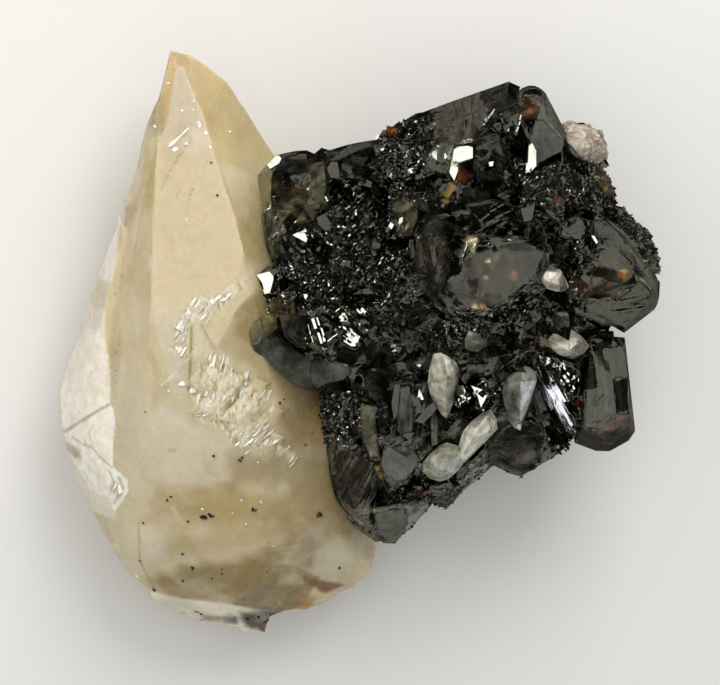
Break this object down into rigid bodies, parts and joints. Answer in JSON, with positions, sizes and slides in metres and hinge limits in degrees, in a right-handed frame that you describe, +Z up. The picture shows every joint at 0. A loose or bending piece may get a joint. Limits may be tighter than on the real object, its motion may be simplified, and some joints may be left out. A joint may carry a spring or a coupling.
{
  "type": "sphalerite specimen",
  "caption": "Mineral specimen for display: black faceted sphalerite crystals grown on a large honey-coloured calcite crystal, lying on its back.",
  "frame": {"origin": "on the resting surface, under the middle of the specimen's box", "axes": "+Z up, away from the resting surface and towards the side that shows; +Y along the specimen towards the calcite's tip; +X from the calcite towards the sphalerite"},
  "size_m": [0.0754, 0.0728, 0.0384],
  "materials": {
    "honey_calcite": "translucent honey calcite with glassy faces",
    "black_sphalerite": "black with an adamantine lustre",
    "pale_calcite": "pale translucent calcite, glassy",
    "sugary_calcite": "sugary, nearly matt"
  },
  "bodies": {
    "root": {"calcite_crystal": "honey_calcite", "sphalerite_cluster": "black_sphalerite", "upright_calcite": "pale_calcite", "pointed_calcite": "pale_calcite", "joined_calcites": "pale_calcite", "bright_calcite": "pale_calcite", "notched_calcite": "pale_calcite", "greyish_calcite": "pale_calcite", "long_calcite": "pale_calcite", "pale_calcite_knob": "sugary_calcite"}
  },
  "joints": []
}
